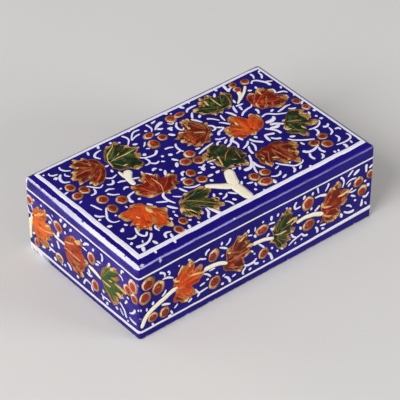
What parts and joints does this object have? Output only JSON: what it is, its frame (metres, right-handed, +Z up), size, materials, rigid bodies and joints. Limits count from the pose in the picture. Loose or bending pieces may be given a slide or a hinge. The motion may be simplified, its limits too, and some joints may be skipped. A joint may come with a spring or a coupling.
{
  "type": "papier-mache box",
  "caption": "Low rectangular box of moulded paper with a lift-off lid that seats over a raised inner liner; sloped lid edge, glossy blue lacquer.",
  "frame": {"origin": "centre of the box's footprint, on the surface it stands on", "axes": "+X along the long sides, +Y towards the back long side, +Z up, the way the lid lifts"},
  "size_m": [0.152, 0.092, 0.048],
  "materials": {
    "blue_lacquer": "gloss",
    "black_lacquer": "satin",
    "white_paint": "gloss",
    "cream_paint": "gloss",
    "gold_paint": "gloss",
    "orange_paint": "gloss",
    "red_paint": "gloss",
    "maroon_paint": "gloss",
    "green_paint": "gloss"
  },
  "bodies": {
    "body": {"body_shell": "blue_lacquer", "liner_front": "black_lacquer", "liner_back": "black_lacquer", "liner_left": "black_lacquer", "liner_right": "black_lacquer"},
    "lid": {"lid_shell": "blue_lacquer"}
  },
  "joints": [
    {"name": "lid_lift", "type": "slide", "parent": "body", "child": "lid", "axis": [0, 0, 1], "range_m": [0, 0.06]}
  ]
}
